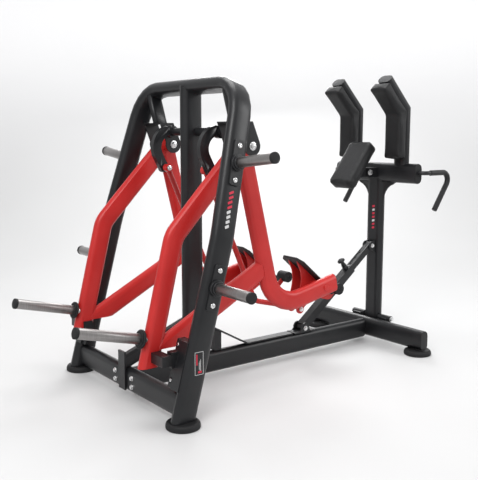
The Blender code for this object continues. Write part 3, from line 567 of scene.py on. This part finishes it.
HORN_LENGTH = 0.262  # from the base plate's outer face to the sleeve's tip
HORN_PLATE_T = 0.008
HORN_PLATE_L, HORN_PLATE_W, HORN_PLATE_R = 0.210, 0.060, 0.010
ARM_SLEEVE_LENGTH = 0.326
for side, s in SIDES:
    for level in ("lower", "upper"):
        node = "horn_" + level + "_" + side
        tip, axis = sleeve(node, Y * s, SLEEVE_Y, HORN_LENGTH - 0.020)
        face = tip - axis * HORN_LENGTH
        bm = bmesh.new()
        lathe(bm, face, axis, rounded(0.0385, -0.002, 0.013, 0.003, 4), 48)
        lathe(bm, face, axis, rounded(0.0330, 0.012, 0.0235, 0.004, 4), 48)
        finish(node + "_flange", bm, BLACK, BODY_OF[node])
        flats = cad_mesh(node)
        flats.normal_update()
        seat = min((f for f in flats.faces if f.calc_area() > 0.008), key=lambda f: f.normal.dot(axis))
        long_edge = max(seat.edges, key=lambda e: e.calc_length())
        leg = (long_edge.verts[1].co - long_edge.verts[0].co).normalized()
        flats.free()
        across = axis.cross(leg).normalized()
        middle = face - axis * HORN_PLATE_T
        half_l, half_w, round_r = HORN_PLATE_L / 2, HORN_PLATE_W / 2, HORN_PLATE_R
        outline = []
        for cx, cy, first in ((1, 1, 0), (-1, 1, 90), (-1, -1, 180), (1, -1, 270)):
            for i in range(5):
                a = math.radians(first + 22.5 * i)
                u = cx * (half_w - round_r) + round_r * math.cos(a)
                v = cy * (half_l - round_r) + round_r * math.sin(a)
                outline.append(middle + across * u + leg * v)
        bm = bmesh.new()
        rings = []
        for scale, lift in ((1.0, 0.0), (1.0, HORN_PLATE_T - 0.0012), (0.985, HORN_PLATE_T)):
            rings.append([bm.verts.new(middle + (p - middle) * scale + axis * lift) for p in outline])
        bridge(bm, rings[0], rings[1])
        bridge(bm, rings[1], rings[2])
        bm.faces.new(rings[0][::-1])
        bm.faces.new(rings[-1])
        base = finish(node + "_plate", bm, BLACK, BODY_OF[node])
        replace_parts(base, node)
        bolts = [("dome", face + leg * (k * 0.080), axis, 0.0125) for k in (-1, 1)]
        hardware(node + "_bolts", BODY_OF[node], bolts)

    node = "arm_horn_" + side
    tip, axis = sleeve(node, -X, SLEEVE_X, ARM_SLEEVE_LENGTH)
    bm = bmesh.new()
    lathe(bm, tip, axis, rounded(0.0440, -0.338, -0.326, 0.0035, 4), 56)
    lathe(bm, tip, axis, rounded(0.0360, -0.327, -0.3215, 0.002, 3), 56)
    finish(node + "_collar", bm, RUBBER, BODY_OF[node])
    bm = bmesh.new()
    lathe(bm, tip, axis, rounded(0.0190, -0.360, -0.337, 0.001, 2), 40)
    stub = finish(node + "_stub", bm, ZINC, BODY_OF[node])
    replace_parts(stub, node)


# ---- feet, grips, knob --------------------------------------------------------------
for side, s in SIDES:
    for base in ("foot_rear", "foot_front"):
        node = base + "_" + side
        low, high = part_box(node)
        centre = Vector(((low.x + high.x) / 2, (low.y + high.y) / 2, 0))
        radius, tall = (high.x - low.x) / 2, high.z
        profile = [(0, 0), (radius - 0.005, 0)]
        for i in range(1, 7):
            a = math.pi / 2 * i / 6
            profile.append((radius - 0.005 + 0.005 * math.sin(a), 0.006 - 0.006 * math.cos(a)))
        for i in range(0, 9):
            a = math.pi / 2 * i / 8
            profile.append((radius - 0.012 + 0.012 * math.cos(a), 0.013 + (tall - 0.013) * math.sin(a)))
        profile += [(radius - 0.016, tall), (radius - 0.018, tall - 0.0015), (0, tall - 0.0015)]
        bm = bmesh.new()
        lathe(bm, centre, Z, profile, 72)
        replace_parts(finish(node + "_pad", bm, RUBBER, "frame", math.radians(50)), node)

    dress("toe_roller_" + side, 0.0045, segments=4, angle=60)
    roller_low, roller_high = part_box("toe_roller_" + side)
    roller_mid = (roller_low + roller_high) / 2
    ends = [Vector((roller_mid.x, y, roller_mid.z)) for y in (roller_low.y + 0.004, roller_high.y - 0.004)]
    bolts = [("dome", ends[0], -Y, 0.0095), ("dome", ends[1], Y, 0.0095)]
    hardware("toe_axle_ends_" + side, "carriage_" + side, bolts, PLASTIC)

    grip = dress("grip_" + side, mat=PLASTIC)
    round_edges(grip, "rounding", 0.004, 4, 60)

axis = Vector(JOINTS["pin_pull"]["axis"]).normalized()
pin = cad_mesh("pull_pin", tidy=False)
middle = sum((v.co for v in pin.verts), Vector()) / len(pin.verts)
tip = middle + axis * max((v.co - middle).dot(axis) for v in pin.verts)
pin.free()
bm = bmesh.new()
knob = [(0, -0.0785), (0.0048, -0.0785), (0.0048, -0.0438), (0.0120, -0.0436), (0.0140, -0.0420)]
knob += [(0.0128, -0.036), (0.0108, -0.027), (0.0100, -0.020), (0.0112, -0.0165), (0.0150, -0.0146)]
for i in range(9):
    a = math.pi * i / 8
    knob.append((0.0212 + 0.0028 * math.sin(a), -0.0108 - 0.0030 * math.cos(a)))
for i in range(1, 7):
    a = math.pi / 2 * i / 7
    knob.append((0.0212 * math.cos(a), -0.0078 + 0.0078 * math.sin(a)))
knob.append((0, 0.0))
lathe(bm, tip, axis, knob, 40)
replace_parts(finish("pull_knob", bm, PLASTIC, "pull_pin", math.radians(50)), "pull_pin")


# ---- pins, bolts --------------------------------------------------------------------
def washer_stack(bm, place, axis, radius):
    """Big washer with a hexagon head on it."""
    lathe(bm, place, axis, rounded(radius, -0.0004, 0.0035, 0.001, 3), 48)
    hex_bolt(bm, place + axis * 0.0035, axis, radius * 0.78, washer=False)


PIVOT_WASHER_R = 0.0205
LINK_OUTER_Y, LINK_INNER_Y = 0.243, 0.1605  # outer faces of the link brackets' bosses

for side, s in SIDES:
    node = "pivot_pin_" + side
    low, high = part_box(node)
    centre = pivot("arm_swing_" + side)
    inner_y, outer_y = (low.y, high.y) if s > 0 else (high.y, low.y)
    bm = bmesh.new()
    shank = rounded(0.0124, 0.001, abs(outer_y - inner_y) - 0.001, 0.001, 2)
    lathe(bm, Vector((centre.x, inner_y, centre.z)), Y * s, shank, 40)
    for y, out in ((outer_y - s * 0.0088, s), (inner_y + s * 0.0088, -s)):
        washer_stack(bm, Vector((centre.x, y, centre.z)), Y * out, PIVOT_WASHER_R)
    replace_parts(finish(node + "_bolt", bm, ZINC, "frame", math.radians(28)), node)

    link = pivot("link_swing_" + side)
    bolts = [("hex", Vector((link.x, s * LINK_OUTER_Y, link.z)), Y * s, 0.013)]
    bolts.append(("hex", Vector((link.x, s * LINK_INNER_Y, link.z)), -Y * s, 0.013))
    hardware("link_bolt_" + side, "frame", bolts)

    carriage = pivot("carriage_swing_" + side)
    arm_low, arm_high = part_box("arm_front_" + side)
    arm_out = arm_high.y if s > 0 else arm_low.y
    bm = bmesh.new()
    cap_profile = rounded(0.0170, -0.0006, 0.0042, 0.0015, 3)
    lathe(bm, Vector((carriage.x, arm_out, carriage.z)), Y * s, cap_profile, 40)
    finish("shaft_cap_" + side, bm, RED, "carriage_" + side)
    drop = link - pivot("arm_swing_" + side)
    low_eye = Vector((carriage.x + drop.x, 0, carriage.z + drop.z))
    bolts = [("hex", low_eye + Y * (s * 0.155), -Y * s, 0.012)]
    bolts.append(("hex", low_eye + Y * (s * 0.2800), Y * s, 0.012))
    hardware("low_pin_bolts_" + side, "carriage_" + side, bolts)

# rear cross-beam: two pairs of bolts that hold the long beam's end plate
low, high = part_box("rear_crossbeam")
mid = (low.z + high.z) / 2
bolts = []
for y in (-0.085, 0.085):
    for z in (mid - 0.022, mid + 0.022):
        bolts.append(("hex", Vector((low.x, y, z)), -X, 0.012))
hardware("rear_beam_bolts", "frame", bolts)

# stop blocks: two bolts in dark cups on each flange's rear face
for side, s in SIDES:
    low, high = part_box("stop_block_" + side)
    tree = BVHTree.FromBMesh(cad_mesh("stop_block_" + side, tidy=False))
    flange_y = (low.y if s > 0 else high.y) + s * 0.017
    bolts = []
    for z in (high.z - 0.024, low.z + 0.032):
        spot, normal, _, _ = tree.ray_cast(Vector((low.x - 0.2, flange_y, z)), X)
        bolts.append(("dome", spot, normal, 0.0085))
    hardware("stop_bolts_" + side, "frame", bolts)
    bm = bmesh.new()
    for _, place, axis, size in bolts:
        lathe(bm, place, axis, rounded(size * 1.75, -0.0006, 0.0026, 0.0010, 3), 32)
    finish("stop_bolt_cups_" + side, bm, RUBBER, "frame")

# strut: bolts at both clevises
STRUT_LENGTH = 0.71972  # between its two pins
low_pin = pivot("strut_swing")
clevis_low, clevis_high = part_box("strut_clevis")
bolts = [("hex", low_pin + Y * clevis_low.y * 0.88, -Y, 0.013)]
bolts.append(("hex", low_pin + Y * clevis_high.y * 0.88, Y, 0.013))
hardware("strut_low_bolt", "frame", bolts)
slide = Vector(JOINTS["strut_slide"]["axis"])
high_pin = low_pin + slide * STRUT_LENGTH
bolts = [("hex", high_pin + Y * (k * 0.0295), Y * k, 0.012) for k in (-1, 1)]
hardware("strut_top_bolt", "tower", bolts)

hinge = pivot("tower_tilt")
hinge_low, hinge_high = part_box("tower_hinge")
bolts = []
for y, k in ((hinge_low.y, -1), (hinge_high.y, 1)):
    bolts.append(("hex", Vector((hinge.x, y, hinge.z)), Y * k, 0.014))
hardware("tower_hinge_bolts", "frame", bolts)

arm_low, arm_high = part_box("chest_arm")
cross = Vector((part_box("tower_head")[0].x - 0.069, 0, (arm_low.z + arm_high.z) / 2))
bolts = [("hex", cross + Y * (k * arm_high.y), Y * k, 0.0165) for k in (-1, 1)]
hardware("chest_arm_bolt", "tower", bolts)


# ---- foot plates --------------------------------------------------------------------
for side, s in SIDES:
    dress("foot_plate_" + side, 0.0028, TREAD)


# ---- plain trim marks ---------------------------------------------------------------
FOIL_T = 0.0005
LEG_MARKS_TOP, LABEL_Z, TOWER_MARKS_TOP = 1.045, 0.292, 0.855


def foil(bm, tree, start, toward, up, shift, size, slant=0.0):
    """Thin cut-corner patch laid on the surface that a ray from start meets."""
    spot, normal, _, _ = tree.ray_cast(start, toward)
    up = (up - normal * up.dot(normal)).normalized()
    across = up.cross(normal)
    wide, tall = size[0] / 2, size[1] / 2
    cut = min(wide, tall) * 0.3
    shape = [(wide, tall - cut), (wide - cut, tall), (cut - wide, tall), (-wide, tall - cut)]
    shape += [(-u, -v) for u, v in shape]
    rings = []
    for lift in (-0.0001, FOIL_T):
        ring = []
        for u, v in shape:
            place = spot + across * (shift[0] + u) + up * (shift[1] + v + slant * u) + normal * lift
            ring.append(bm.verts.new(place))
        rings.append(ring)
    bridge(bm, rings[0], rings[1])
    bm.faces.new(rings[0][::-1])
    bm.faces.new(rings[1])


def leg_middle(tree, z, side):
    """Middle of the leg's width at a height, in X."""
    step = 0.004
    hits = []
    x = CAD_BOX[0].x
    while x < 0:
        if tree.ray_cast(Vector((x, side * 2, z)), -Y * side)[0] is not None:
            hits.append(x)
        x += step
    return (hits[0] + hits[-1]) / 2


hoop_tree = BVHTree.FromBMesh(cad_mesh("hoop", tidy=False))
post_tree = BVHTree.FromBMesh(cad_mesh("tower_post", tidy=False))
for side, s in SIDES:
    reds, whites = bmesh.new(), bmesh.new()
    for i in range(8):
        z = LEG_MARKS_TOP - 0.0215 * i
        start = Vector((leg_middle(hoop_tree, z, s) - 0.004, s * 2, z))
        tall = 0.011 if i < 4 else 0.013
        wide = 0.026 if i < 4 else 0.022
        foil(reds if i < 4 else whites, hoop_tree, start, -Y * s, Z, (0, 0), (wide, tall), 0.25)
    start = Vector((leg_middle(hoop_tree, LABEL_Z, s), s * 2, LABEL_Z))
    for k in (1, -1):
        foil(whites, hoop_tree, start, -Y * s, Z, (0, k * 0.052), (0.046, 0.002))
    for k in (1, -1):
        foil(whites, hoop_tree, start, -Y * s, Z, (k * 0.022, 0), (0.002, 0.104))
    for i in range(3):
        tall = 0.060 - 0.014 * i
        foil(whites, hoop_tree, start, -Y * s, Z, (0.008 - 0.004 * i, -0.012), (0.0018, tall))
    foil(reds, hoop_tree, start, -Y * s, Z, (-0.012, 0.018), (0.006, 0.050))
    foil(reds, hoop_tree, start, -Y * s, Z, (0.004, -0.040), (0.020, 0.010))
    finish("leg_marks_red_" + side, reds, STRIPE_RED, "frame")
    finish("leg_marks_pale_" + side, whites, STRIPE_WHITE, "frame")

reds, whites = bmesh.new(), bmesh.new()
for i in range(7):
    start = Vector((0, -0.006, TOWER_MARKS_TOP - 0.0225 * i))
    foil(whites if i % 3 == 1 else reds, post_tree, start, X, Z, (0, 0), (0.020, 0.013), 0.2)
finish("tower_marks_red", reds, STRIPE_RED, "tower")
finish("tower_marks_pale", whites, STRIPE_WHITE, "tower")


# ---- pads ---------------------------------------------------------------------------
def swell(obj, cap, frames=18, pressure=4.0):
    """Blows the cover up over its foam as cloth, holding each point within cap of its start."""
    start = [v.co.copy() for v in obj.data.vertices]
    cloth = obj.modifiers.new("cover", "CLOTH")
    cloth.settings.quality = 6
    cloth.settings.mass = 0.35
    cloth.settings.tension_stiffness = 25
    cloth.settings.compression_stiffness = 25
    cloth.settings.shear_stiffness = 12
    cloth.settings.bending_stiffness = 3
    cloth.settings.use_pressure = True
    cloth.settings.uniform_pressure_force = pressure
    cloth.settings.effector_weights.gravity = 0
    scene = bpy.context.scene
    scene.frame_start, scene.frame_end = 1, frames
    cloth.point_cache.frame_start, cloth.point_cache.frame_end = 1, frames
    for f in range(1, frames + 1):
        scene.frame_set(f)
    shaped = obj.evaluated_get(bpy.context.evaluated_depsgraph_get())
    moved = [v.co.copy() for v in shaped.data.vertices]
    obj.modifiers.remove(cloth)
    scene.frame_set(1)
    for vertex, home, away in zip(obj.data.vertices, start, moved):
        shift = away - home
        if shift.length > cap:
            shift = shift.normalized() * cap
        vertex.co = home + shift


def pad(node, corner, shrink, cap):
    """Upholstered pad grown from its plain CAD block."""
    cover = node + "_cover"
    obj = finish(cover, cad_mesh(node), VINYL, BODY_OF[node], math.radians(80))
    round_edges(obj, "corner", corner, 4, 30)
    cells = obj.modifiers.new("cells", "REMESH")
    cells.mode = "VOXEL"
    cells.voxel_size = 0.0052
    bpy.context.view_layer.update()
    shaped = obj.evaluated_get(bpy.context.evaluated_depsgraph_get())
    mesh = bpy.data.meshes.new_from_object(shaped)
    obj.modifiers.clear()
    obj.data = mesh
    normals = [v.normal.copy() for v in mesh.vertices]
    for vertex, normal in zip(mesh.vertices, normals):
        vertex.co -= normal * shrink
    swell(obj, cap)
    mesh.shade_smooth()
    relax = obj.modifiers.new("relax", "SMOOTH")
    relax.factor = 0.5
    relax.iterations = 6
    fine = obj.modifiers.new("fine", "SUBSURF")
    fine.levels = fine.render_levels = 1
    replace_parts(obj, node)


for side, s in SIDES:
    pad("shoulder_pad_" + side, 0.0115, 0.0012, 0.0030)
pad("chest_pad", 0.0125, 0.0012, 0.0030)


# ---- setting ------------------------------------------------------------------------
def area_light(name, place, target, size, power):
    data = bpy.data.lights.new(name, "AREA")
    data.shape = "DISK"
    data.size = size
    data.energy = power
    light = bpy.data.objects.new(name, data)
    bpy.context.scene.collection.objects.link(light)
    light.location = place
    light.rotation_euler = (Vector(target) - Vector(place)).to_track_quat("-Z", "Y").to_euler()


world = bpy.data.worlds.new("studio")
bpy.context.scene.world = world
world.use_nodes = True
world.node_tree.nodes["Background"].inputs["Color"].default_value = (0.93, 0.935, 0.94, 1)
world.node_tree.nodes["Background"].inputs["Strength"].default_value = 0.64

VIEW_AZIMUTH = 37.1
floor_mesh = bpy.data.meshes.new("floor")
bm = bmesh.new()
reach, far, rise, bend = 9.0, 6.0, 9.0, 4.0
profile = [(-reach, 0.0), (far - bend, 0.0)]
for i in range(1, 13):
    a = math.pi / 2 * i / 12
    profile.append((far - bend + bend * math.sin(a), bend - bend * math.cos(a)))
profile.append((far, rise))
heading = math.radians(VIEW_AZIMUTH)
view_dir = Vector((math.sin(heading), math.cos(heading), 0))
view_side = Vector((view_dir.y, -view_dir.x, 0))
rows = []
for d, z in profile:
    rows.append([bm.verts.new(view_dir * d + view_side * w + Z * z) for w in (-14, 14)])
for a, b in zip(rows, rows[1:]):
    bm.faces.new((a[0], a[1], b[1], b[0]))
bm.to_mesh(floor_mesh)
bm.free()
floor_mat = new_material("pale_floor", (0.60, 0.60, 0.60), 0.6)
floor_shader = floor_mat.node_tree.nodes["Principled BSDF"]
floor_shader.inputs["Specular IOR Level"].default_value = 0.15
# Painted light: the floor and its curved backdrop glow by emission, faint on the floor and brighter with height.
floor_shader.inputs["Emission Color"].default_value = (0.985, 0.985, 1.0, 1.0)
tint(floor_mat, noise(floor_mat, 0.6, 2.0), "Fac", (0.575, 0.575, 0.575), (0.60, 0.60, 0.60))
split = add(floor_mat, "ShaderNodeSeparateXYZ")
join(floor_mat, add(floor_mat, "ShaderNodeTexCoord"), "Object", split, "Vector")
painted_backdrop_glow = add(floor_mat, "ShaderNodeMapRange", interpolation_type="SMOOTHSTEP")
painted_backdrop_glow.inputs["From Max"].default_value = 3.0
painted_backdrop_glow.inputs["To Min"].default_value = 0.05
painted_backdrop_glow.inputs["To Max"].default_value = 0.52
join(floor_mat, split, "Z", painted_backdrop_glow, "Value")
join(floor_mat, painted_backdrop_glow, "Result", floor_shader, "Emission Strength")
floor_mesh.materials.append(floor_mat)
floor_mesh.shade_smooth()
floor = bpy.data.objects.new("floor", floor_mesh)
bpy.context.scene.collection.objects.link(floor)

area_light("key", (-3.5, -2.5, 4.2), (0, 0, 0.7), 2.6, 150)
area_light("fill", (3.6, -3.6, 3.0), (0.2, 0, 0.8), 2.4, 85)
area_light("top", (0.3, 0.6, 4.6), (0, 0, 0), 3.0, 110)
area_light("rim", (2.6, 3.4, 3.2), (0.4, 0, 0.9), 2.0, 85)

camera_data = bpy.data.cameras.new("camera")
camera_data.lens = 55.85
camera_data.sensor_width = 36.0
camera = bpy.data.objects.new("camera", camera_data)
bpy.context.scene.collection.objects.link(camera)
camera.location = (-2.5274, -3.227, 1.312)
camera.rotation_euler = (math.radians(90 - 8.18), 0, -math.radians(37.12))
bpy.context.scene.camera = camera
bpy.context.scene.view_settings.view_transform = "Standard"
